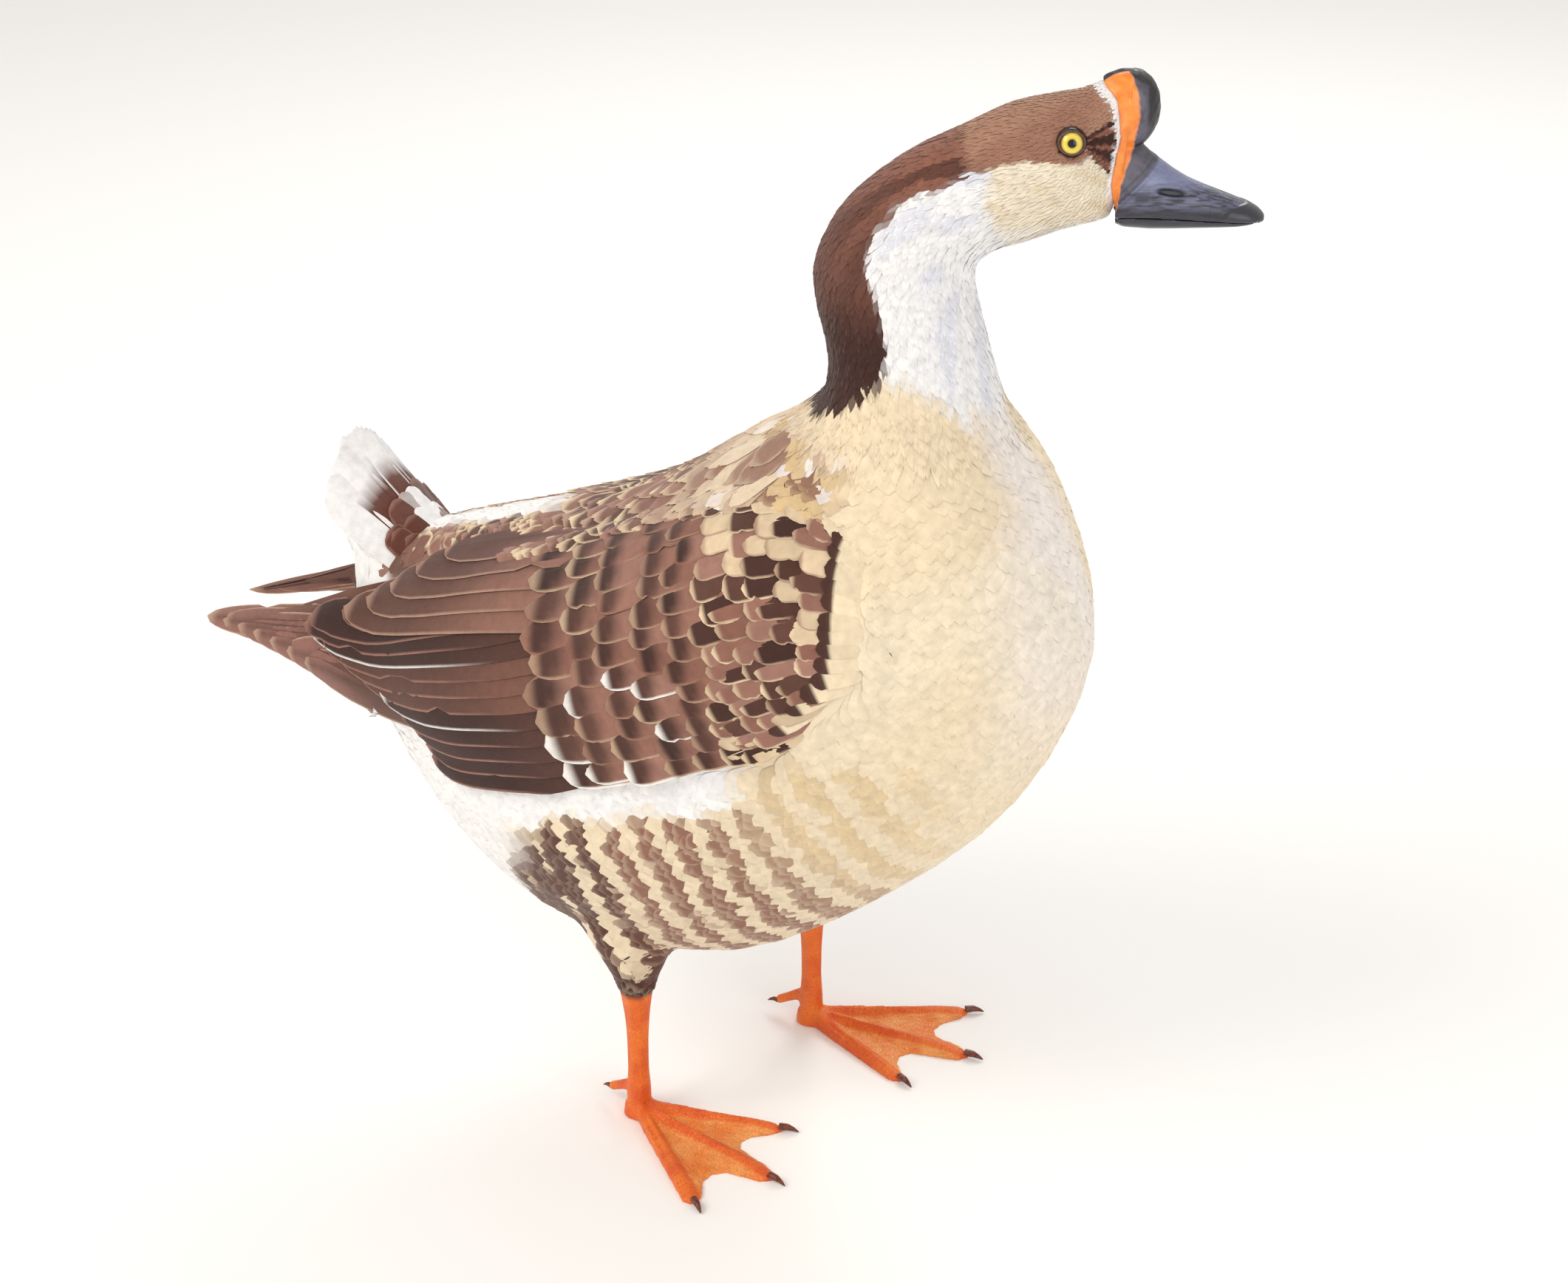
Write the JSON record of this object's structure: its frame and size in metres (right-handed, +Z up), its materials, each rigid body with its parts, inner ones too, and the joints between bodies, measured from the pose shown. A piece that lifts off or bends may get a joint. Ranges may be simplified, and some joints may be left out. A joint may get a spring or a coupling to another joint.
{
  "type": "knob-billed domestic goose, still life-size model",
  "caption": "Standing brown and white knob-billed goose with folded wings, cocked tail and the head turned a little to its left.",
  "frame": {"origin": "on the floor under the middle of the model's box", "axes": "+X to the goose's front, +Y to its left, +Z up"},
  "size_m": [0.7268, 0.307, 0.7368],
  "materials": {
    "body_feathers": "soft matt buff and white contour feathers with brown bars on the flank",
    "neck_feathers": "short soft white feathers with a dark brown stripe down the back of the neck",
    "head_feathers": "very short velvety feathers, brown crown and buff cheek",
    "wing_feathers": "satin brown flight feathers and coverts with pale edges",
    "tail_feathers": "white and brown tail feathers",
    "bill_horn": "smooth satin slate-black skin over horn",
    "knob_skin": "smooth black fleshy knob",
    "collar_skin": "smooth orange skin",
    "leg_skin": "finely scaled orange skin",
    "eye": "polished, with a yellow iris and a black pupil",
    "claw_horn": "dark brown horn"
  },
  "bodies": {
    "root": {"trunk": "body_feathers", "thigh_left": "body_feathers", "thigh_right": "body_feathers", "neck_low": "neck_feathers", "neck_middle": "neck_feathers", "neck_high": "neck_feathers", "head": "head_feathers", "wing_left_shoulder": "wing_feathers", "wing_left_secondaries": "wing_feathers", "wing_left_primaries": "wing_feathers", "wing_right_shoulder": "wing_feathers", "wing_right_secondaries": "wing_feathers", "wing_right_primaries": "wing_feathers", "tail": "tail_feathers", "bill_upper": "bill_horn", "bill_lower": "bill_horn", "knob": "knob_skin", "bill_collar": "collar_skin", "shank_left": "leg_skin", "foot_left": "leg_skin", "hind_toe_left": "leg_skin", "shank_right": "leg_skin", "foot_right": "leg_skin", "hind_toe_right": "leg_skin", "eye_left": "eye", "eye_right": "eye", "claw_left_inner": "claw_horn", "claw_left_middle": "claw_horn", "claw_left_outer": "claw_horn", "claw_left_hind": "claw_horn", "claw_right_inner": "claw_horn", "claw_right_middle": "claw_horn", "claw_right_outer": "claw_horn", "claw_right_hind": "claw_horn"}
  },
  "joints": []
}
